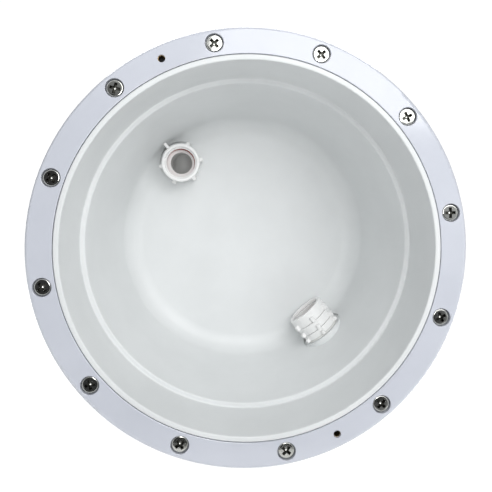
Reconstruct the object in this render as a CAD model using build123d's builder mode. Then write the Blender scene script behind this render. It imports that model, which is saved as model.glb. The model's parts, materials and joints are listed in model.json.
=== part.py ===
"""Wall niche of a pool light: a stepped plastic bowl, its clamp ring, and two cable glands.

Millimetres. The niche lies in the wall as it is built in: it opens towards -Y, its axis is the Y axis,
+Z is up, and the origin is the centre of the flange's back face, where the pool wall begins.
"""
import math
import os
from build123d import *

# Levels along the niche's axis, front to back
RING_FRONT = -29.0
RING_BACK = -20.0
GASKET_T = 2.0
FLANGE_FRONT = RING_BACK + 2 * GASKET_T
FLANGE_PLATE_T = 4.0
COLLAR_BACK = 10.0
LEDGE_Y = 14.0
BASE_INSIDE = 96.0
BASE_OUTSIDE = 100.0

# Radii of the ring, flange and bowl
RING_R = 140.0
RING_BORE_R = 123.1
RING_EDGE_R = 2.4
RING_BORE_EDGE_R = 0.4
LIP_IN_R = 119.2
LIP_OUT_R = 122.8
LIP_EDGE_R = 1.0
FLANGE_R = 139.0
FLANGE_RIM_IN_R = 136.5
COLLAR_R = 124.0
GASKET_IN_R = 123.4
GASKET_OUT_R = 138.4
LEDGE_OUT_R = 115.6
LEDGE_IN_R = 112.0
LEDGE_EDGE_R = 1.2
CORNER_R = 94.6
CORNER_FILLET = 15.0
WALL_T = 3.5
FIN_COUNT = 8
FIRST_FIN_DEG = 22.5
SPRUE_R = 4.4
SPRUE_H = 0.6

# Ring screws (M6, cross recess) and their brass inserts
SCREW_COUNT = 12
SCREW_CIRCLE_R = 131.3
FIRST_SCREW_DEG = 10.0
HEAD_R = 5.4
HEAD_H = 3.4
HEAD_SUNK = 1.4
HEAD_EDGE_R = 1.1
HEAD_SEAT = RING_FRONT + HEAD_SUNK + HEAD_H
COUNTERBORE_R = 5.9
COUNTERBORE_EDGE_R = 0.35
SHANK_R = 3.0
SHANK_L = 20.0
CLEARANCE_R = 3.4
CROSS_SPAN = 6.8
CROSS_WIDTH = 1.6
CROSS_DEPTH = 2.4
CROSS_TAPER = 8
CROSS_TURNS = (2, 25, 41, 44, 75, 35, 42, 12, 32, 50, 48, 24)
BOSS_R = 6.6
BOSS_BORE_R = 4.2
BOSS_FLOOR = 3.0
INSERT_BORE_R = 3.05
INSERT_FRONT = FLANGE_FRONT + 0.5
INSERT_BACK = -4.0
RIB_T = 2.4
RIB_COUNT = 2 * SCREW_COUNT
THROUGH = 20.0

# Lamp-screw inserts (M5), pressed into the clamp ring from behind
LAMP_HOLE_DEGS = (115.0, 295.0)
LAMP_HOLE_R = 2.4
LAMP_INSERT_FRONT = RING_FRONT + 2.0
LAMP_INSERT_BACK = RING_BACK - 0.5
LAMP_INSERT_R = 3.6
LAMP_THREAD_R = 2.1

# Cable glands: heights are measured from the seat, + into the bowl, - out through the wall
BASE_GLAND_DEG = 130.0
BASE_GLAND_R = 78.0
SIDE_GLAND_DEG = -50.0
SIDE_SEAT_R = 98.0
SIDE_GLAND_Y = 76.0
SEAT_WALL = 6.0
PAD_R = 18.1
OUTER_PAD_R = 21.6
SHANK_THREAD_R = 11.0
CABLE_BORE_R = 8.5
WASHER_T = 1.5
TIER_R = 15.0
COLLAR_TOP = 6.5
NECK_R = 12.0
NECK_TOP = 12.0
BARREL_FROM = 6.8
BARREL_TOP = 13.3
SPIGOT_R = 13.5
SPIGOT_BORE_R = 12.3
SPIGOT_TOP = 18.5
SEAL_TOP = 16.5
SEAL_BORE_R = 11.2
SLIP_RING_BORE_R = 11.2
SLIP_GAP = 0.3
SLIP_END_PLAY = 0.2
NUT_FROM = 13.6
NUT_SHOULDER = 20.2
NUT_TOP = 22.5
NUT_MOUTH_R = 12.4
NUT_CHAMFER = 0.5
LUG_COUNT = 6
LUG_TIP_R = 17.5
LUG_W = 3.2
BODY_LUG_SHARE = 0.6
BARREL_LUG_SHARE = 0.55
NUT_LUG_SHARE = 0.5
TAB_ROOT_R = 14.4
TAB_TIP_R = 20.0
TAB_W = 2.2
TAB_FROM = 18.2
TAB_H = 3.2
LOCK_NUT_FLATS = 30.0
LOCK_NUT_FROM = -6.2
LOCK_NUT_T = 4.5
SOCKET_FROM = -11.0
SHANK_END = -15.0
SOCKET_WEB_END = -16.2
SOCKET_R = 14.0
SOCKET_WEB_BORE_R = 9.0
CONDUIT_R = 10.1
SIDE_SOCKET_END = -24.8
ELBOW_CORNER = -28.0
ELBOW_ARM = 34.0
ELBOW_SOCKET_DEPTH = 16.0
FIT = 0.05

nodes = {}


def direction(degrees):
    """Unit vector across the niche's axis: 0 degrees is +X and 90 degrees is +Z."""
    return Vector(math.cos(math.radians(degrees)), 0, math.sin(math.radians(degrees)))


def facing_front(y, degrees=0.0, radius=0.0):
    """Plane that looks out of the niche, its X axis pointing away from the niche's axis."""
    across = direction(degrees)
    return Plane(origin=across * radius + Vector(0, y, 0), x_dir=across, z_dir=(0, -1, 0))


def disc(plane, outer, inner=0.0):
    """A round or ring-shaped face on a plane."""
    with BuildSketch(plane) as face:
        Circle(outer)
        if inner:
            Circle(inner, mode=Mode.SUBTRACT)
    return face.sketch


def holes(y, radius, degrees):
    """Round faces on the screw circle, looking out of the niche."""
    with BuildSketch(facing_front(y)) as face:
        for angle in degrees:
            with PolarLocations(SCREW_CIRCLE_R, 1, start_angle=angle):
                Circle(radius)
    return face.sketch


def keep(node, name):
    """Label a finished piece and remember it for export."""
    node.part.label = name
    nodes[name] = node.part


def spin(points, fillets=()):
    """Half section in radius and depth, with rounded corners, for turning about the Y axis."""
    with BuildSketch(Plane.XY) as section:
        with BuildLine():
            Polyline(*points, close=True)
        make_face()
        for spot, radius in fillets:
            fillet(section.vertices().sort_by_distance(spot)[0], radius)
    return section.sketch


screw_degs = [FIRST_SCREW_DEG + i * 360 / SCREW_COUNT for i in range(SCREW_COUNT)]
base_seat = facing_front(BASE_INSIDE, BASE_GLAND_DEG, BASE_GLAND_R)
side_out = direction(SIDE_GLAND_DEG)
side_seat = Plane(
    origin=side_out * SIDE_SEAT_R + Vector(0, SIDE_GLAND_Y, 0), x_dir=(0, -1, 0), z_dir=side_out * -1
)

# The bowl: outside first, then the hollow, then the flange and the gland seats
step_out_r = LEDGE_IN_R + WALL_T
outside = spin(
    [(0, RING_FRONT), (LIP_OUT_R, RING_FRONT), (LIP_OUT_R, 0), (COLLAR_R, 0), (COLLAR_R, COLLAR_BACK),
     (step_out_r, LEDGE_Y + WALL_T), (CORNER_R + WALL_T, BASE_OUTSIDE), (0, BASE_OUTSIDE)],
    [((CORNER_R + WALL_T, BASE_OUTSIDE), CORNER_FILLET + WALL_T)],
)
hollow = spin(
    [(0, RING_FRONT), (LIP_IN_R, RING_FRONT), (LEDGE_OUT_R, LEDGE_Y), (LEDGE_IN_R, LEDGE_Y),
     (CORNER_R, BASE_INSIDE), (0, BASE_INSIDE)],
    [
        ((LEDGE_OUT_R, LEDGE_Y), LEDGE_EDGE_R),
        ((LEDGE_IN_R, LEDGE_Y), LEDGE_EDGE_R),
        ((CORNER_R, BASE_INSIDE), CORNER_FILLET),
    ],
)
with BuildPart() as niche_body:
    revolve(outside, axis=Axis.Y)
    for seat in (base_seat, side_seat):
        extrude(disc(seat.offset(-SEAT_WALL), OUTER_PAD_R), amount=2 * SEAT_WALL)
    extrude(disc(side_seat.offset(-SEAT_WALL), OUTER_PAD_R), amount=-SEAT_WALL, mode=Mode.SUBTRACT)
    # Fins stiffen the rear wall, clear of both glands
    with BuildSketch(Plane.XY) as fin:
        with BuildLine():
            Polyline(
                (LEDGE_IN_R, COLLAR_BACK), (COLLAR_R - 1, COLLAR_BACK), (COLLAR_R - 1, LEDGE_Y),
                (CORNER_R + WALL_T + 1, BASE_INSIDE - CORNER_FILLET), (CORNER_R, BASE_INSIDE - CORNER_FILLET),
                close=True,
            )
        make_face()
    fin_solid = extrude(fin.sketch, amount=RIB_T / 2, both=True, mode=Mode.PRIVATE)
    for i in range(FIN_COUNT):
        add(fin_solid.rotate(Axis.Y, FIRST_FIN_DEG + i * 360 / FIN_COUNT))
    revolve(hollow, axis=Axis.Y, mode=Mode.SUBTRACT)
    fillet(niche_body.edges().group_by(Axis.Y)[0], LIP_EDGE_R)
    # Gland seats: each flat pad is cut into the rounded corner, and the side one stands in from the wall
    for seat in (base_seat, side_seat):
        extrude(disc(seat, PAD_R), amount=-SEAT_WALL)
        extrude(disc(seat, PAD_R), amount=PAD_R, mode=Mode.SUBTRACT)
        extrude(disc(seat, SHANK_THREAD_R + FIT), amount=-SEAT_WALL, mode=Mode.SUBTRACT)
    # Flange: front plate, rim, ribs and insert bosses that all end at the wall face
    extrude(disc(facing_front(FLANGE_FRONT), FLANGE_R, LIP_OUT_R - 1), amount=-FLANGE_PLATE_T)
    extrude(disc(facing_front(FLANGE_FRONT), FLANGE_R, FLANGE_RIM_IN_R), amount=FLANGE_FRONT)
    with BuildSketch(facing_front(0)) as rib_faces:
        with PolarLocations((LIP_OUT_R + FLANGE_R) / 2, RIB_COUNT, start_angle=FIRST_SCREW_DEG):
            Rectangle(FLANGE_R - LIP_OUT_R - 1, RIB_T)
    extrude(rib_faces.sketch, amount=-FLANGE_FRONT)
    extrude(holes(0, BOSS_R, screw_degs), amount=-FLANGE_FRONT)
    extrude(holes(-BOSS_FLOOR, BOSS_BORE_R, screw_degs), amount=THROUGH, mode=Mode.SUBTRACT)
    # Injection point in the middle of the base
    extrude(disc(facing_front(BASE_INSIDE), SPRUE_R), amount=SPRUE_H)
keep(niche_body, "niche_body")

# Clamp ring with counterbored screw holes and the pockets of the lamp-screw inserts
with BuildPart() as clamp_ring:
    extrude(disc(facing_front(RING_BACK), RING_R, RING_BORE_R), amount=RING_BACK - RING_FRONT)
    front_edges = clamp_ring.edges().group_by(Axis.Y)[0].sort_by(SortBy.RADIUS)
    fillet(front_edges[-1], RING_EDGE_R)
    fillet(clamp_ring.edges().group_by(Axis.Y)[0].sort_by(SortBy.RADIUS)[0], RING_BORE_EDGE_R)
    extrude(holes(HEAD_SEAT, COUNTERBORE_R, screw_degs), amount=THROUGH, mode=Mode.SUBTRACT)
    counterbore_rims = clamp_ring.edges().group_by(Axis.Y)[0].sort_by(SortBy.RADIUS)[:SCREW_COUNT]
    fillet(counterbore_rims, COUNTERBORE_EDGE_R)
    extrude(holes(RING_BACK, CLEARANCE_R, screw_degs), amount=THROUGH, mode=Mode.SUBTRACT)
    extrude(holes(RING_BACK, LAMP_HOLE_R, LAMP_HOLE_DEGS), amount=THROUGH, mode=Mode.SUBTRACT)
    extrude(
        holes(RING_BACK, LAMP_INSERT_R, LAMP_HOLE_DEGS), amount=RING_BACK - LAMP_INSERT_FRONT,
        mode=Mode.SUBTRACT,
    )
keep(clamp_ring, "clamp_ring")

# Two flat gaskets grip the pool liner between the ring and the flange
for name, back in (("front_gasket", RING_BACK + GASKET_T), ("rear_gasket", FLANGE_FRONT)):
    with BuildPart() as gasket:
        extrude(disc(facing_front(back), GASKET_OUT_R, GASKET_IN_R), amount=GASKET_T)
        extrude(holes(back, CLEARANCE_R, screw_degs), amount=GASKET_T, mode=Mode.SUBTRACT)
    keep(gasket, name)

# Twelve pan-head screws, each stopped with its cross at its own angle
with BuildPart() as ring_screws:
    for angle in screw_degs:
        extrude(disc(facing_front(HEAD_SEAT, angle, SCREW_CIRCLE_R), HEAD_R), amount=HEAD_H)
    fillet(ring_screws.edges().group_by(Axis.Y)[0], HEAD_EDGE_R)
    for angle, turn in zip(screw_degs, CROSS_TURNS):
        head_top = facing_front(HEAD_SEAT - HEAD_H, angle, SCREW_CIRCLE_R)
        with BuildSketch(head_top) as cross:
            with Locations(Rotation(0, 0, turn - angle)):
                Rectangle(CROSS_SPAN, CROSS_WIDTH)
                Rectangle(CROSS_WIDTH, CROSS_SPAN)
        extrude(cross.sketch, amount=-CROSS_DEPTH, taper=CROSS_TAPER, mode=Mode.SUBTRACT)
    extrude(holes(HEAD_SEAT, SHANK_R, screw_degs), amount=-SHANK_L)
keep(ring_screws, "ring_screws")

with BuildPart() as ring_inserts:
    extrude(holes(INSERT_BACK, BOSS_BORE_R - FIT / 2, screw_degs), amount=INSERT_BACK - INSERT_FRONT)
    extrude(
        holes(INSERT_BACK, INSERT_BORE_R, screw_degs), amount=INSERT_BACK - INSERT_FRONT,
        mode=Mode.SUBTRACT,
    )
keep(ring_inserts, "ring_inserts")

lamp_insert_l = LAMP_INSERT_BACK - LAMP_INSERT_FRONT
with BuildPart() as lamp_inserts:
    extrude(holes(LAMP_INSERT_BACK, LAMP_INSERT_R - FIT / 2, LAMP_HOLE_DEGS), amount=lamp_insert_l)
    extrude(
        holes(LAMP_INSERT_BACK, LAMP_THREAD_R, LAMP_HOLE_DEGS), amount=lamp_insert_l, mode=Mode.SUBTRACT
    )
keep(lamp_inserts, "lamp_inserts")


def lugged(plane, inner):
    """Face of a lugged gland ring: a circle with six finger lugs."""
    with BuildSketch(plane) as face:
        Circle(TIER_R)
        with PolarLocations(0, LUG_COUNT):
            with Locations((LUG_TIP_R / 2, 0)):
                Rectangle(LUG_TIP_R, LUG_W)
        Circle(inner, mode=Mode.SUBTRACT)
    return face.sketch


def stack(seat, *lengths):
    """Ring-shaped lengths along a gland's axis, each (from, to, outer radius, inner radius)."""
    for start, end, outer, inner in lengths:
        extrude(disc(seat.offset(start), outer, inner), amount=end - start)


def make_gland(prefix, seat, tabbed):
    """Seven pieces of one cable gland, from its mouth in the bowl to the lock nut outside."""
    with BuildPart() as gland_body:
        stack(
            seat,
            (SHANK_END, WASHER_T, SHANK_THREAD_R, CABLE_BORE_R),
            (WASHER_T, COLLAR_TOP, TIER_R, CABLE_BORE_R),
            (COLLAR_TOP, NECK_TOP, NECK_R, CABLE_BORE_R),
        )
        extrude(lugged(seat.offset(WASHER_T), CABLE_BORE_R), amount=(COLLAR_TOP - WASHER_T) * BODY_LUG_SHARE)
    keep(gland_body, f"{prefix}_body")

    with BuildPart() as washer:
        stack(seat, (0, WASHER_T, TIER_R, SHANK_THREAD_R + FIT))
    keep(washer, f"{prefix}_washer")

    with BuildPart() as barrel:
        stack(
            seat,
            (BARREL_FROM, NECK_TOP, TIER_R, NECK_R + FIT),
            (NECK_TOP, BARREL_TOP, TIER_R, SPIGOT_BORE_R),
            (BARREL_TOP, SPIGOT_TOP, SPIGOT_R, SPIGOT_BORE_R),
        )
        lug_h = (BARREL_TOP - BARREL_FROM) * BARREL_LUG_SHARE
        extrude(lugged(seat.offset(BARREL_FROM), NECK_R + FIT), amount=lug_h)
    keep(barrel, f"{prefix}_barrel")

    with BuildPart() as seal:
        stack(seat, (NECK_TOP, SEAL_TOP, SPIGOT_BORE_R - FIT, SEAL_BORE_R))
    keep(seal, f"{prefix}_seal")

    ring_step = SPIGOT_TOP + SLIP_GAP
    with BuildPart() as slip_ring:
        stack(
            seat,
            (SEAL_TOP + SLIP_GAP, ring_step, SPIGOT_BORE_R - SLIP_GAP, SLIP_RING_BORE_R),
            (ring_step, NUT_SHOULDER - SLIP_END_PLAY, SPIGOT_R - SLIP_GAP, SLIP_RING_BORE_R),
        )
    keep(slip_ring, f"{prefix}_slip_ring")

    with BuildPart() as cap_nut:
        stack(
            seat,
            (NUT_FROM, NUT_SHOULDER, TIER_R, SPIGOT_R + FIT),
            (NUT_SHOULDER, NUT_TOP, TIER_R, NUT_MOUTH_R),
        )
        lug_h = (NUT_TOP - NUT_FROM) * NUT_LUG_SHARE
        extrude(lugged(seat.offset(NUT_FROM), SPIGOT_R + FIT), amount=lug_h)
        rim = cap_nut.faces().sort_by(Axis(seat.origin, seat.z_dir))[-1]
        chamfer(rim.edges(), NUT_CHAMFER)
        if tabbed:
            # A short lever to tighten the nut by
            with BuildSketch(seat.offset(TAB_FROM)) as tab:
                with Locations(((TAB_ROOT_R + TAB_TIP_R) / 2, 0)):
                    Rectangle(TAB_TIP_R - TAB_ROOT_R, TAB_W)
            extrude(tab.sketch, amount=TAB_H)
    keep(cap_nut, f"{prefix}_cap_nut")

    with BuildPart() as lock_nut:
        with BuildSketch(seat.offset(LOCK_NUT_FROM)) as hexagon:
            RegularPolygon(LOCK_NUT_FLATS / 2, 6, major_radius=False)
            Circle(SHANK_THREAD_R + FIT, mode=Mode.SUBTRACT)
        extrude(hexagon.sketch, amount=-LOCK_NUT_T)
    keep(lock_nut, f"{prefix}_lock_nut")


make_gland("base_gland", base_seat, tabbed=True)
make_gland("side_gland", side_seat, tabbed=False)

# Outside the wall, the side gland's shank carries a straight socket for a 20 mm conduit
with BuildPart() as side_conduit_socket:
    stack(
        side_seat,
        (SOCKET_FROM, SHANK_END, SOCKET_R, SHANK_THREAD_R + FIT),
        (SHANK_END, SOCKET_WEB_END, SOCKET_R, SOCKET_WEB_BORE_R),
        (SOCKET_WEB_END, SIDE_SOCKET_END, SOCKET_R, CONDUIT_R),
    )
keep(side_conduit_socket, "side_conduit_socket")

# The base gland's shank carries an elbow that turns the conduit upwards
corner = base_seat.offset(ELBOW_CORNER).origin
upwards = Plane(origin=corner, x_dir=(1, 0, 0), z_dir=(0, 0, 1))
with BuildPart() as base_conduit_elbow:
    extrude(disc(base_seat.offset(ELBOW_CORNER), SOCKET_R), amount=SOCKET_FROM - ELBOW_CORNER)
    extrude(disc(upwards, SOCKET_R), amount=ELBOW_ARM)
    with Locations(corner):
        Sphere(SOCKET_R)
    extrude(
        disc(base_seat.offset(SHANK_END), SHANK_THREAD_R + FIT), amount=SOCKET_FROM - SHANK_END,
        mode=Mode.SUBTRACT,
    )
    extrude(
        disc(base_seat.offset(ELBOW_CORNER), SOCKET_WEB_BORE_R), amount=SOCKET_FROM - ELBOW_CORNER,
        mode=Mode.SUBTRACT,
    )
    extrude(disc(upwards, SOCKET_WEB_BORE_R), amount=ELBOW_ARM, mode=Mode.SUBTRACT)
    with Locations(corner):
        Sphere(SOCKET_WEB_BORE_R, mode=Mode.SUBTRACT)
    extrude(
        disc(upwards.offset(ELBOW_ARM - ELBOW_SOCKET_DEPTH), CONDUIT_R), amount=ELBOW_SOCKET_DEPTH,
        mode=Mode.SUBTRACT,
    )
keep(base_conduit_elbow, "base_conduit_elbow")

os.makedirs("parts", exist_ok=True)
for name, part in nodes.items():
    export_step(part, f"parts/{name}.step")
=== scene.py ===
"""Looks for the pool light niche: materials, detailed pieces, stage, light and camera on the CAD frame."""

import json
import math

import bmesh
import bpy
from mathutils import Matrix, Vector


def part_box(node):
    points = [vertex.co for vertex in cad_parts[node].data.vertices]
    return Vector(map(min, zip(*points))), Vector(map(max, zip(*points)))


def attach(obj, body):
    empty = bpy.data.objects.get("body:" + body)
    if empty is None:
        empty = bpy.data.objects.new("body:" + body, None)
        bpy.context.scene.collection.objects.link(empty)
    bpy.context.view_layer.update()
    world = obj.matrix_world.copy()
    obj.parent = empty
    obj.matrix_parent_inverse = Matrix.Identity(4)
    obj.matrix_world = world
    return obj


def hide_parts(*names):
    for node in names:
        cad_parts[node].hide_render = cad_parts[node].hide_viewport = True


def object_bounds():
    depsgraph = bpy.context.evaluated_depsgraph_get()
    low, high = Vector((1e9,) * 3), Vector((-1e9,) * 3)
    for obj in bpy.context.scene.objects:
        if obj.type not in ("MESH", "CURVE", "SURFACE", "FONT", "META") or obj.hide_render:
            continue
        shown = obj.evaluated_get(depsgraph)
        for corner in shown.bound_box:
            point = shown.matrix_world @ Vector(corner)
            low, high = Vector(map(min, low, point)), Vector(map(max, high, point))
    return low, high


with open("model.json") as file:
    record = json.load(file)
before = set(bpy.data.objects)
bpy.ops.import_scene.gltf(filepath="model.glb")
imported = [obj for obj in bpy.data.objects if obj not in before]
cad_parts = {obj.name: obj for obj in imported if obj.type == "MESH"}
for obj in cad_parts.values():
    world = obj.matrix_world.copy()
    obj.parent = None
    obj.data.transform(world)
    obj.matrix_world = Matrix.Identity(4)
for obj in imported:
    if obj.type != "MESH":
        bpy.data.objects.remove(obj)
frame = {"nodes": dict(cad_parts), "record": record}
cad_low, cad_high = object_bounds()

# ---------------------------------------------------------------- places read from the frame
RING_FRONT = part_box("clamp_ring")[0].y
mounts = {m["name"]: m for m in frame["record"]["mounts"]}

# ---------------------------------------------------------------- node material helpers


def new_material(name, color, roughness, metallic=0.0, coat=0.0):
    """A Principled material whose plain numbers sit on the shader's own sockets."""
    material = bpy.data.materials.new(name)
    material.use_nodes = True
    shader = material.node_tree.nodes["Principled BSDF"]
    shader.inputs["Base Color"].default_value = (*color, 1.0)
    shader.inputs["Roughness"].default_value = roughness
    shader.inputs["Metallic"].default_value = metallic
    shader.inputs["Coat Weight"].default_value = coat
    shader.inputs["Coat Roughness"].default_value = 0.08
    return material, material.node_tree, shader


def noise(tree, scale, detail=4.0, stretch=(1, 1, 1)):
    """3-D noise in object metres; scale is in cycles per metre."""
    nodes, links = tree.nodes, tree.links
    coords = nodes.new("ShaderNodeTexCoord")
    mapping = nodes.new("ShaderNodeMapping")
    mapping.inputs["Scale"].default_value = stretch
    texture = nodes.new("ShaderNodeTexNoise")
    texture.inputs["Scale"].default_value = scale
    texture.inputs["Detail"].default_value = detail
    texture.inputs["Roughness"].default_value = 0.55
    links.new(coords.outputs["Object"], mapping.inputs["Vector"])
    links.new(mapping.outputs["Vector"], texture.inputs["Vector"])
    return texture.outputs["Fac"]


def ramp(tree, value, low, high, start=0.35, end=0.65):
    """Maps a noise value to a band of colours."""
    node = tree.nodes.new("ShaderNodeValToRGB")
    node.color_ramp.elements[0].position = start
    node.color_ramp.elements[1].position = end
    node.color_ramp.elements[0].color = (*low, 1.0)
    node.color_ramp.elements[1].color = (*high, 1.0)
    tree.links.new(value, node.inputs["Fac"])
    return node.outputs["Color"]


def spread(tree, value, low, high, start=0.3, end=0.7):
    """Maps a noise value to a range of numbers."""
    node = tree.nodes.new("ShaderNodeMapRange")
    node.inputs["From Min"].default_value = start
    node.inputs["From Max"].default_value = end
    node.inputs["To Min"].default_value = low
    node.inputs["To Max"].default_value = high
    tree.links.new(value, node.inputs["Value"])
    return node.outputs["Result"]


def bump(tree, shader, height, strength, distance, after=None):
    """Adds a bump layer to the shader's normal."""
    node = tree.nodes.new("ShaderNodeBump")
    node.inputs["Strength"].default_value = strength
    node.inputs["Distance"].default_value = distance
    tree.links.new(height, node.inputs["Height"])
    if after is not None:
        tree.links.new(after, node.inputs["Normal"])
    tree.links.new(node.outputs["Normal"], shader.inputs["Normal"])
    return node.outputs["Normal"]


def plastic(name, low, high, rough, orange_peel, coat):
    """Moulded plastic: clouded colour, uneven gloss, orange peel and a fine grain."""
    material, tree, shader = new_material(name, high, rough[0], coat=coat)
    tree.links.new(ramp(tree, noise(tree, 22), low, high), shader.inputs["Base Color"])
    tree.links.new(spread(tree, noise(tree, 60), *rough), shader.inputs["Roughness"])
    first = bump(tree, shader, noise(tree, 420, 2.0), 0.35, orange_peel)
    bump(tree, shader, noise(tree, 2600, 2.0), 0.2, orange_peel * 0.5, first)
    return material


def rubber(name, low, high):
    """Moulded rubber with a fine matt grain and a little bloom."""
    material, tree, shader = new_material(name, high, 0.7)
    tree.links.new(ramp(tree, noise(tree, 90), low, high), shader.inputs["Base Color"])
    tree.links.new(spread(tree, noise(tree, 200), 0.58, 0.82), shader.inputs["Roughness"])
    bump(tree, shader, noise(tree, 1800, 3.0), 0.5, 0.00004)
    return material


def metal(name, low, high, rough):
    """Turned or rolled metal with fine marks."""
    material, tree, shader = new_material(name, high, rough[0], metallic=1.0)
    tree.links.new(ramp(tree, noise(tree, 120), low, high), shader.inputs["Base Color"])
    tree.links.new(spread(tree, noise(tree, 500), *rough), shader.inputs["Roughness"])
    bump(tree, shader, noise(tree, 1500, 2.0, stretch=(1, 4, 1)), 0.25, 0.00002)
    return material


# Finish, darker colour, lighter colour and lowest and highest roughness; plastics add orange peel and coat
PLASTICS = (
    ("bowl_plastic", (0.722, 0.738, 0.738), (0.757, 0.773, 0.773), (0.38, 0.46), 0.00002, 0.0),
    ("ring_plastic", (0.575, 0.595, 0.655), (0.605, 0.625, 0.685), (0.10, 0.16), 0.00001, 0.5),
    ("gland_plastic", (0.84, 0.84, 0.83), (0.89, 0.89, 0.88), (0.26, 0.36), 0.00002, 0.0),
    ("socket_plastic", (0.70, 0.70, 0.69), (0.75, 0.75, 0.74), (0.32, 0.45), 0.00002, 0.0),
)
RUBBERS = (
    ("gasket_rubber", (0.015, 0.015, 0.017), (0.035, 0.035, 0.037)),
    ("washer_rubber", (0.66, 0.66, 0.64), (0.74, 0.74, 0.72)),
    ("seal_rubber", (0.28, 0.07, 0.06), (0.42, 0.12, 0.10)),
)
METALS = (
    ("stainless", (0.54, 0.54, 0.50), (0.68, 0.68, 0.65), (0.07, 0.13)),
    # The brass is kept far darker than bright brass so the lamp inserts read as dark holes: painted shade
    # inside the holes
    ("brass", (0.20, 0.14, 0.07), (0.32, 0.23, 0.12), (0.35, 0.5)),
)

materials = {row[0]: plastic(*row) for row in PLASTICS}
materials.update({row[0]: rubber(*row) for row in RUBBERS})
materials.update({row[0]: metal(*row) for row in METALS})
# Near-black steel for the walls and floors of the screw heads' cross recesses: painted shade that stands in
# for the shade inside the recess
painted_shade_steel = metal("painted_shade_steel", (0.035, 0.035, 0.03), (0.08, 0.08, 0.07), (0.35, 0.5))

slots = {s["node"]: s["material_slot"] for s in frame["record"]["subparts"]}
for node, thing in frame["nodes"].items():
    thing.data.materials.clear()
    thing.data.materials.append(materials[slots[node]])

# ---------------------------------------------------------------- sizes of the pieces, in millimetres
MM = 0.001
TURN = 2 * math.pi
LUGGED_SEGMENTS = 288
PLAIN_SEGMENTS = 144
SCREW_SEGMENTS = 72
SHARP_ANGLE = math.radians(32)

# Glands: heights from the seat, + into the bowl, - out through the wall
LUG_COUNT = 6
LUG_W = 3.2
LUG_FLANK = 0.9
LUG_OUT = 2.5
TIER_R = 15.0
CABLE_R = 8.5
SHANK_R = 11.0
SHANK_END = -15.0
WASHER_T = 1.5
COLLAR_TOP = 6.5
COLLAR_LUG_TOP = 4.5
NECK_R = 12.0
NECK_TOP = 12.0
BARREL_FROM = 6.8
BARREL_LUG_TOP = 10.3
BARREL_TOP = 13.3
SPIGOT_R = 13.5
SPIGOT_BORE_R = 12.3
SPIGOT_TOP = 18.5
SEAL_R = 12.25
SEAL_BORE_R = 11.2
SEAL_TOP = 16.5
SEAL_RIB = 0.25
SEAL_RIB_COUNT = 7
SEAL_RIB_MARGIN = 0.4
SEAL_SLUMP = 0.8
SLIP_GAP = 0.3
SLIP_END_PLAY = 0.2
NUT_FROM = 13.6
NUT_LUG_TOP = 18.0
NUT_SHOULDER = 20.2
NUT_TOP = 22.5
NUT_MOUTH_R = 12.4
NUT_BORE_R = 13.55
THREAD_PITCH = 1.5
THREAD_DEPTH = 0.4
THREAD_STEPS = 6
NUT_EDGE = 0.9
TAB_ROOT_R = 14.4
TAB_TIP_R = 20.0
TAB_W = 2.2
TAB_FROM = 18.2
TAB_H = 3.2
TAB_EDGE = 0.4
LOCK_NUT_FLATS = 30.0
LOCK_NUT_FROM = -6.2
LOCK_NUT_TO = -10.7
LOCK_NUT_CHAMFER = 0.9
SOCKET_FROM = -11.0
SOCKET_WEB_END = -16.2
SOCKET_END = -24.8
SOCKET_R = 14.0
SOCKET_WEB_R = 9.0
SOCKET_BAND_W = 3.0
SOCKET_BAND_SLOPE = 0.6
SOCKET_BAND_STEP = 0.7
CONDUIT_R = 10.1
FIT = 0.05

# Ring screws: heights from the head's underside, + out of the ring
SCREW_COUNT = 12
SCREW_CIRCLE_R = 131.3
FIRST_SCREW = math.radians(10)
HEAD_R = 5.4
HEAD_H = 3.4
HEAD_EDGE = 1.0
SCREW_R = 3.0
SCREW_PITCH = 1.0
SCREW_THREAD = 0.35
CROSS_SPAN = 7.0
CROSS_W = 2.0
CROSS_DEPTH = 2.4
CROSS_PIT_R = 1.4
CROSS_END_TAPER = 0.7
CROSS_SIDE_TAPER = 0.8
CUT_OVER = 0.2
PIT_SEGMENTS = 24
SCREW_SOFTEN = 0.1
CROSS_TURNS = (2, 25, 41, 44, 75, 35, 42, 12, 32, 50, 48, 24)
screws_low, screws_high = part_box("ring_screws")
HEAD_SEAT = screws_low.y + HEAD_H * MM
SCREW_L = (screws_high.y - HEAD_SEAT) / MM

# ---------------------------------------------------------------- mesh makers


def rounded(corners, steps=4):
    """Outline points (height, radius, lug share, thread depth); a corner's fifth number turns it round."""
    outline = []
    for i, (height, radius, lug, groove, turn) in enumerate(corners):
        here = Vector((height, radius))
        if not turn:
            outline.append((height, radius, lug, groove))
            continue
        back = (Vector(corners[i - 1][:2]) - here).normalized() * turn
        ahead = (Vector(corners[(i + 1) % len(corners)][:2]) - here).normalized() * turn
        for step in range(steps + 1):
            t = step / steps
            spot = here + back * (1 - t) ** 2 + ahead * t**2
            outline.append((spot.x, spot.y, lug, groove))
    return outline


def plain(height, radius, turn=0.0):
    """A corner with neither lug nor thread."""
    return (height, radius, 0, 0, turn)


def lug_shoulder(height):
    """Corners where the lugs end, going down the outside of a tier: a rounded step from none to full."""
    return [(height, TIER_R, 0, 0, 0), (height - 0.05, TIER_R, 0.6, 0, 0), (height - 0.5, TIER_R, 1, 0, 0)]


def threaded(start, end, radius, depth, pitch=THREAD_PITCH):
    """Corners along a thread that fades in and out over its first and last turn."""
    steps = round(abs(end - start) / pitch * THREAD_STEPS)
    corners = []
    for i in range(steps + 1):
        fade = min(1, i / THREAD_STEPS, (steps - i) / THREAD_STEPS)
        corners.append((start + (end - start) * i / steps, radius, 0, depth * fade, 0))
    return corners


def lug_swell(angle):
    """How far a lug stands out at an angle: 0 between lugs, 1 on its tip, rounded at both flanks."""
    pitch = TURN / LUG_COUNT
    off = abs((angle + pitch / 2) % pitch - pitch / 2) * TIER_R
    inwards = min(1, max(0, (LUG_W / 2 - off) / LUG_FLANK))
    return math.sqrt(1 - (1 - inwards) ** 2)


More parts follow.
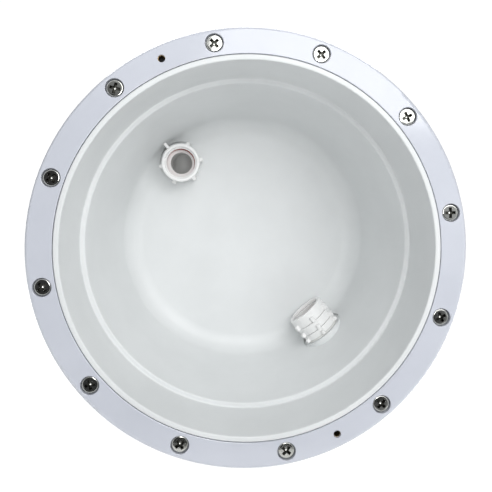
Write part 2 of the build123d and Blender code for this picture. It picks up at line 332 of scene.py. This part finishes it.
def lathe(outline, segments=PLAIN_SEGMENTS, pitch=THREAD_PITCH, flats=None):
    """Turns a closed outline about +Z, with lugs, helical threads or the six flats of a nut."""
    mesh = bmesh.new()
    rings = []
    for j in range(segments):
        angle = TURN * j / segments
        swell = lug_swell(angle)
        ring = []
        for height, radius, lug, groove in outline:
            wave = abs((height / pitch - j / segments) % 1 * 2 - 1)
            reach = radius + lug * LUG_OUT * swell + groove * wave
            if flats:
                reach = min(reach, flats / 2 / math.cos(angle % (TURN / 6) - TURN / 12))
            ring.append(mesh.verts.new(
                (reach * MM * math.cos(angle), reach * MM * math.sin(angle), height * MM)
            ))
        rings.append(ring)
    for j in range(segments):
        this, other = rings[j], rings[(j + 1) % segments]
        for i in range(len(outline)):
            mesh.faces.new((this[i - 1], other[i - 1], other[i], this[i]))
    bmesh.ops.remove_doubles(mesh, verts=mesh.verts, dist=MM * 0.0001)
    bmesh.ops.recalc_face_normals(mesh, faces=mesh.faces)
    return mesh


def cross_wing():
    """A bar along X that narrows downwards from the head's top, for cutting one wing of a cross recess."""
    mesh = bmesh.new()
    bmesh.ops.create_cube(mesh, size=1.0)
    for vert in mesh.verts:
        low = vert.co.z < 0
        scale = CROSS_END_TAPER if low else 1.0
        side = CROSS_SIDE_TAPER if low else 1.0
        vert.co = Vector((
            vert.co.x * CROSS_SPAN * scale,
            vert.co.y * CROSS_W * side,
            HEAD_H + CUT_OVER - (CROSS_DEPTH + CUT_OVER) * low,
        )) * MM
    return mesh


def merged(first, second):
    """Both meshes in the first one."""
    data = bpy.data.meshes.new("part")
    second.to_mesh(data)
    second.free()
    first.from_mesh(data)
    bpy.data.meshes.remove(data)
    return first


def carved(mesh, cutter):
    """The first mesh with the second one cut out of it."""
    shapes = []
    for source in (mesh, cutter):
        data = bpy.data.meshes.new("carving")
        source.to_mesh(data)
        source.free()
        shape = bpy.data.objects.new("carving", data)
        bpy.context.scene.collection.objects.link(shape)
        shapes.append(shape)
    cut = shapes[0].modifiers.new("cut", "BOOLEAN")
    cut.object = shapes[1]
    cut.operation = "DIFFERENCE"
    cut.solver = "EXACT"
    result = bmesh.new()
    result.from_object(shapes[0], bpy.context.evaluated_depsgraph_get())
    for shape in shapes:
        bpy.data.objects.remove(shape)
    return result


def piece(name, mesh, place, body, slot, *nodes, soften=0.0, recess=None):
    """Puts a mesh in its place and ties it to its body, its finish and the CAD nodes it stands for."""
    data = bpy.data.meshes.new(name)
    mesh.to_mesh(data)
    mesh.free()
    data.transform(place)
    data.polygons.foreach_set("use_smooth", [True] * len(data.polygons))
    data.set_sharp_from_angle(angle=SHARP_ANGLE)
    data.materials.append(materials[slot])
    # The optional second material is the painted shade for the cross recess faces
    if recess:
        data.materials.append(recess)
    thing = bpy.data.objects.new(name, data)
    bpy.context.scene.collection.objects.link(thing)
    if soften:
        edge = thing.modifiers.new("soft_edges", "BEVEL")
        edge.width = soften * MM
        edge.segments = 2
        edge.limit_method = "ANGLE"
        edge.angle_limit = SHARP_ANGLE
        edge.harden_normals = True
    flats = thing.modifiers.new("flat_faces", "WEIGHTED_NORMAL")
    flats.keep_sharp = True
    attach(thing, body)
    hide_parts(*nodes)


# ---------------------------------------------------------------- cable glands


def gland_body():
    """Shank through the wall, lugged collar and neck, with the cable's bore through them."""
    return lathe(rounded([
        plain(SHANK_END, CABLE_R, 0.4), plain(NECK_TOP, CABLE_R, 0.6), plain(NECK_TOP, NECK_R, 0.3),
        plain(COLLAR_TOP, NECK_R), plain(COLLAR_TOP, TIER_R, 0.7),
        *lug_shoulder(COLLAR_LUG_TOP), (WASHER_T, TIER_R, 1, 0, 0.4),
        plain(WASHER_T, SHANK_R), plain(SHANK_END, SHANK_R, 0.5),
    ]), LUGGED_SEGMENTS)


def gland_washer():
    """Flat rubber washer between the collar and the bowl."""
    return lathe(rounded([
        plain(0, SHANK_R + FIT), plain(WASHER_T, SHANK_R + FIT), plain(WASHER_T, TIER_R, 0.4),
        plain(0, TIER_R, 0.4),
    ]))


def nut_tab():
    """The short lever on the base gland's nut, rounded all over."""
    mesh = bmesh.new()
    bmesh.ops.create_cube(mesh, size=1.0)
    for vert in mesh.verts:
        vert.co = Vector((
            TAB_TIP_R if vert.co.x > 0 else TAB_ROOT_R,
            vert.co.y * TAB_W,
            TAB_FROM + TAB_H * (vert.co.z > 0),
        )) * MM
    bmesh.ops.bevel(mesh, geom=mesh.edges[:], offset=TAB_EDGE * MM, segments=3, profile=0.5, affect="EDGES")
    return mesh


def gland_barrel():
    """Lugged barrel with the threaded spigot that the cap nut screws onto."""
    return lathe(rounded([
        plain(BARREL_FROM, NECK_R + FIT, 0.2), plain(NECK_TOP, NECK_R + FIT), plain(NECK_TOP, SPIGOT_BORE_R),
        plain(SPIGOT_TOP, SPIGOT_BORE_R, 0.3), plain(SPIGOT_TOP, SPIGOT_R - THREAD_DEPTH, 0.3),
        *threaded(SPIGOT_TOP - 0.4, BARREL_TOP + 0.2, SPIGOT_R - THREAD_DEPTH, THREAD_DEPTH),
        plain(BARREL_TOP, SPIGOT_R - THREAD_DEPTH), plain(BARREL_TOP, TIER_R, 0.6),
        *lug_shoulder(BARREL_LUG_TOP), (BARREL_FROM, TIER_R, 1, 0, 0.4),
    ]), LUGGED_SEGMENTS)


def gland_seal():
    """Thin rubber sleeve with ribs in its bore, which sits a little to one side."""
    ribs = []
    ribbed = SEAL_TOP - NECK_TOP - 2 * SEAL_RIB_MARGIN
    for i in range(SEAL_RIB_COUNT):
        height = NECK_TOP + SEAL_RIB_MARGIN + i * ribbed / (SEAL_RIB_COUNT - 1)
        ribs.append(plain(height, SEAL_BORE_R + SEAL_RIB * (i % 2 == 0), 0.15))
    mesh = lathe(rounded([
        *ribs, plain(SEAL_TOP, SEAL_BORE_R + 0.4, 0.2), plain(SEAL_TOP, SEAL_R, 0.2),
        plain(NECK_TOP, SEAL_R), plain(NECK_TOP, SEAL_BORE_R + 0.4),
    ]))
    for vert in mesh.verts:
        if math.hypot(vert.co.x, vert.co.y) < (SEAL_BORE_R + 0.5) * MM:
            vert.co.y += SEAL_SLUMP * MM
    return mesh


def gland_slip_ring():
    """Stepped ring that presses on the seal."""
    bottom = SEAL_TOP + SLIP_GAP
    step = SPIGOT_TOP + SLIP_GAP
    top = NUT_SHOULDER - SLIP_END_PLAY
    wide_r, narrow_r = SPIGOT_R - SLIP_GAP, SPIGOT_BORE_R - SLIP_GAP
    return lathe(rounded([
        plain(bottom, SEAL_BORE_R, 0.2), plain(top, SEAL_BORE_R, 0.4),
        plain(top, wide_r, 0.3), plain(step, wide_r, 0.15),
        plain(step, narrow_r, 0.1), plain(bottom, narrow_r, 0.2),
    ]))


def gland_cap_nut(tabbed):
    """Lugged nut with a threaded skirt and a round mouth; one has a short lever."""
    mesh = lathe(rounded([
        plain(NUT_FROM, NUT_BORE_R, 0.3),
        *threaded(NUT_FROM + 0.5, NUT_SHOULDER - 0.3, NUT_BORE_R, THREAD_DEPTH),
        plain(NUT_SHOULDER, NUT_BORE_R), plain(NUT_SHOULDER, NUT_MOUTH_R, 0.2),
        plain(NUT_TOP, NUT_MOUTH_R, 0.6), plain(NUT_TOP, TIER_R, NUT_EDGE),
        *lug_shoulder(NUT_LUG_TOP), (NUT_FROM, TIER_R, 1, 0, 0.4),
    ]), LUGGED_SEGMENTS)
    return merged(mesh, nut_tab()) if tabbed else mesh


def gland_lock_nut():
    """Six-sided nut on the outside of the wall, chamfered at both faces."""
    corner_r = LOCK_NUT_FLATS / math.sqrt(3)
    face_r = LOCK_NUT_FLATS / 2 + 0.2
    return lathe(rounded([
        plain(LOCK_NUT_FROM, SHANK_R + FIT), plain(LOCK_NUT_FROM, face_r),
        plain(LOCK_NUT_FROM - LOCK_NUT_CHAMFER, corner_r), plain(LOCK_NUT_TO + LOCK_NUT_CHAMFER, corner_r),
        plain(LOCK_NUT_TO, face_r), plain(LOCK_NUT_TO, SHANK_R + FIT),
    ]), flats=LOCK_NUT_FLATS)


def conduit_socket():
    """Straight socket for a conduit, with a band at each end."""
    waist_r = SOCKET_R - SOCKET_BAND_STEP
    slope_end = SOCKET_BAND_W + SOCKET_BAND_SLOPE
    return lathe(rounded([
        plain(SOCKET_FROM, SHANK_R + FIT), plain(SHANK_END, SHANK_R + FIT),
        plain(SHANK_END, SOCKET_WEB_R), plain(SOCKET_WEB_END, SOCKET_WEB_R),
        plain(SOCKET_WEB_END, CONDUIT_R), plain(SOCKET_END, CONDUIT_R, 0.6),
        plain(SOCKET_END, SOCKET_R, 0.6), plain(SOCKET_END + SOCKET_BAND_W, SOCKET_R, 0.4),
        plain(SOCKET_END + slope_end, waist_r, 0.4), plain(SOCKET_FROM - slope_end, waist_r, 0.4),
        plain(SOCKET_FROM - SOCKET_BAND_W, SOCKET_R, 0.4), plain(SOCKET_FROM, SOCKET_R, 0.6),
    ]))


def seat_of(mount, mouth, first_lug):
    """Place of a gland: origin on its seat, +Z out of its mouth, +X through its first lug."""
    across = mouth.cross(first_lug)
    turn = Matrix((first_lug, across, mouth)).transposed().to_4x4()
    return Matrix.Translation(mount) @ turn


def make_gland(prefix, place, tabbed):
    """One gland's seven pieces, each on the body that it moves with."""
    for part, mesh, body in (
        ("body", gland_body(), "niche"),
        ("washer", gland_washer(), "niche"),
        ("barrel", gland_barrel(), "niche"),
        ("seal", gland_seal(), "niche"),
        ("slip_ring", gland_slip_ring(), f"{prefix}_slide_ring"),
        ("cap_nut", gland_cap_nut(tabbed), f"{prefix}_nut"),
        ("lock_nut", gland_lock_nut(), "niche"),
    ):
        node = f"{prefix}_{part}"
        piece(f"{node}_detail", mesh, place, body, slots[node], node)


# ---------------------------------------------------------------- ring screws


def ring_screw():
    """Pan-head screw with a cross recess and a rolled thread."""
    mesh = lathe(rounded([
        plain(-SCREW_L, 0), plain(-SCREW_L, SCREW_R - 0.9), plain(-SCREW_L + 0.8, SCREW_R - SCREW_THREAD),
        *threaded(-SCREW_L + 1, -2, SCREW_R - SCREW_THREAD, SCREW_THREAD, SCREW_PITCH),
        plain(-1.2, SCREW_R), plain(0, SCREW_R), plain(0, HEAD_R, 0.3),
        plain(HEAD_H, HEAD_R, HEAD_EDGE), plain(HEAD_H, 0),
    ], steps=6), SCREW_SEGMENTS, SCREW_PITCH)
    pit = lathe(rounded([
        plain(HEAD_H + CUT_OVER, 0), plain(HEAD_H + CUT_OVER, CROSS_PIT_R),
        plain(HEAD_H - CROSS_DEPTH, CROSS_PIT_R * 0.6), plain(HEAD_H - CROSS_DEPTH - 0.6, 0),
    ]), PIT_SEGMENTS)
    wing = cross_wing()
    other_wing = cross_wing()
    bmesh.ops.rotate(other_wing, verts=other_wing.verts, matrix=Matrix.Rotation(TURN / 4, 3, "Z"))
    for cutter in (wing, other_wing, pit):
        mesh = carved(mesh, cutter)
    # Faces down inside the cross wings take the second material, painted shade; the small cone of the pit at
    # the bottom keeps the bright steel
    for face in mesh.faces:
        spot = face.calc_center_median() / MM
        in_cross = math.hypot(spot.x, spot.y) < CROSS_SPAN / 2 and 0 < spot.z < HEAD_H - 0.02
        face.material_index = int(in_cross and spot.z > HEAD_H - CROSS_DEPTH - 0.05)
    return mesh


def make_screws():
    """Twelve screws round the ring, each stopped with its cross at its own angle."""
    mesh = ring_screw()
    outwards = Matrix(((1, 0, 0), (0, 0, -1), (0, 1, 0))).to_4x4()
    for i, turn in enumerate(CROSS_TURNS):
        angle = FIRST_SCREW + TURN * i / SCREW_COUNT
        spot = Vector((
            SCREW_CIRCLE_R * MM * math.cos(angle), HEAD_SEAT, SCREW_CIRCLE_R * MM * math.sin(angle)
        ))
        place = Matrix.Translation(spot) @ outwards @ Matrix.Rotation(math.radians(turn), 4, "Z")
        piece(
            f"ring_screw_{i + 1}", mesh.copy(), place, "niche", slots["ring_screws"], "ring_screws",
            soften=SCREW_SOFTEN, recess=painted_shade_steel,
        )
    mesh.free()


base_spot = Vector(mounts["base_cable_bore"]["pos_m"])
side_spot = Vector(mounts["side_cable_bore"]["pos_m"])
base_outwards = Vector((base_spot.x, 0, base_spot.z)).normalized()
side_inwards = -Vector((side_spot.x, 0, side_spot.z)).normalized()
FORWARDS = Vector((0, -1, 0))
make_gland("base_gland", seat_of(base_spot, FORWARDS, base_outwards), tabbed=True)
side_seat = seat_of(side_spot, side_inwards, FORWARDS)
make_gland("side_gland", side_seat, tabbed=False)
piece(
    "side_conduit_socket_detail", conduit_socket(), side_seat, "niche",
    slots["side_conduit_socket"], "side_conduit_socket",
)
make_screws()

# ---------------------------------------------------------------- stage, light, camera
FLOOR_Z = cad_low.z - 0.10
FLOOR_W = 5.0
FLOOR_NEAR = -0.30
FLOOR_FAR = 1.5
ROOM_COLOR = (0.95, 0.975, 1.0, 1.0)
SKY_WHITE = 1.05

# Room light by how far a direction points to the front (-Y): to the sides, then ahead, then the dark cone
SIDE_LIGHT = 0.31
ROOM_LIGHT = 0.88
ROOM_BAND = (0.5, 0.85)
CONE_BAND = (0.86, 0.92)
CONE_BRIGHT_SIDE = (0.5, 0, 0.866)
FRONT_LIGHT = 0.04
FRONT_SLOPE = 3.0
CONE_WIDTH = 0.2

# Lights: name, place, aim, size in metres, power in watts
SOFTBOXES = (
    ("key", (0.335, -0.7, 0.475), (0.335, 0, 0.475), (0.74, 0.65), 5.4),
    ("fill", (0, -1.1, 0.05), (0, 0, 0), (0.25, 0.25), 2.1),
    ("floor_wash", (0, 1.3, 1.5), (0, 1.3, FLOOR_Z), (2.6, 1.4), 48),
)

CAMERA_LENS = 45.4
CAMERA_SHIFT = (-0.033, -0.078)
CAMERA_PLACE = (-0.0199, RING_FRONT - 0.3903, 0.0347)
CAMERA_AIM = (0.0693, 0.9974, -0.0214)


def make_floor():
    """A plain pale floor below the part; the bright room shows past its far edge."""
    bpy.ops.mesh.primitive_grid_add(
        x_subdivisions=8, y_subdivisions=8, size=1.0, location=(0, (FLOOR_NEAR + FLOOR_FAR) / 2, FLOOR_Z)
    )
    floor = bpy.context.object
    floor.scale = (FLOOR_W, FLOOR_FAR - FLOOR_NEAR, 1)
    floor.name = "floor"
    material, tree, shader = new_material("floor_paper", (0.94, 0.94, 0.94), 0.8)
    tree.links.new(
        ramp(tree, noise(tree, 3), (0.93, 0.93, 0.93), (0.95, 0.95, 0.95)), shader.inputs["Base Color"]
    )
    floor.data.materials.append(material)


def make_light(name, place, aim, size, power):
    """A rectangular softbox that faces a point."""
    data = bpy.data.lights.new(name, "AREA")
    data.shape = "RECTANGLE"
    data.size, data.size_y = size
    data.energy = power
    light = bpy.data.objects.new(name, data)
    light.location = place
    light.rotation_euler = (Vector(aim) - Vector(place)).to_track_quat("-Z", "Y").to_euler()
    bpy.context.scene.collection.objects.link(light)


def make_world():
    """Soft room light: dark behind the camera, brighter towards the upper right, white where it is seen."""
    world = bpy.data.worlds.new("room")
    world.use_nodes = True
    tree = world.node_tree
    nodes, links = tree.nodes, tree.links
    room = nodes["Background"]
    room.inputs["Color"].default_value = ROOM_COLOR
    coords = nodes.new("ShaderNodeTexCoord")

    def towards(direction):
        """How far the room's direction points the given way."""
        dot = nodes.new("ShaderNodeVectorMath")
        dot.operation = "DOT_PRODUCT"
        dot.inputs[1].default_value = direction
        links.new(coords.outputs["Generated"], dot.inputs[0])
        return dot.outputs["Value"]

    ahead = towards((0, -1, 0))
    room_light = spread(tree, ahead, SIDE_LIGHT, ROOM_LIGHT, *ROOM_BAND)
    front = spread(tree, ahead, 0.0, 1.0, *CONE_BAND)
    brightest = FRONT_LIGHT + FRONT_SLOPE * CONE_WIDTH
    lobe = spread(tree, towards(CONE_BRIGHT_SIDE), FRONT_LIGHT, brightest, 0.0, CONE_WIDTH)
    mix_strength = nodes.new("ShaderNodeMix")
    links.new(room_light, mix_strength.inputs["A"])
    links.new(front, mix_strength.inputs["Factor"])
    links.new(lobe, mix_strength.inputs["B"])
    links.new(mix_strength.outputs["Result"], room.inputs["Strength"])

    wall = nodes.new("ShaderNodeBackground")
    wall.inputs["Color"].default_value = (1.0, 1.0, 1.0, 1.0)
    wall.inputs["Strength"].default_value = SKY_WHITE
    path = nodes.new("ShaderNodeLightPath")
    mix = nodes.new("ShaderNodeMixShader")
    links.new(path.outputs["Is Camera Ray"], mix.inputs["Fac"])
    links.new(room.outputs["Background"], mix.inputs[1])
    links.new(wall.outputs["Background"], mix.inputs[2])
    links.new(mix.outputs["Shader"], nodes["World Output"].inputs["Surface"])
    bpy.context.scene.world = world


def make_camera():
    """The photographer's place: a little above and left of the axis, with the picture cropped off centre."""
    data = bpy.data.cameras.new("camera")
    data.sensor_width = 36.0
    data.lens = CAMERA_LENS
    data.shift_x, data.shift_y = CAMERA_SHIFT
    camera = bpy.data.objects.new("camera", data)
    camera.location = CAMERA_PLACE
    camera.rotation_euler = Vector(CAMERA_AIM).to_track_quat("-Z", "Y").to_euler()
    bpy.context.scene.collection.objects.link(camera)
    bpy.context.scene.camera = camera


make_floor()
make_world()
for softbox in SOFTBOXES:
    make_light(*softbox)
make_camera()
bpy.context.scene.view_settings.view_transform = "Standard"
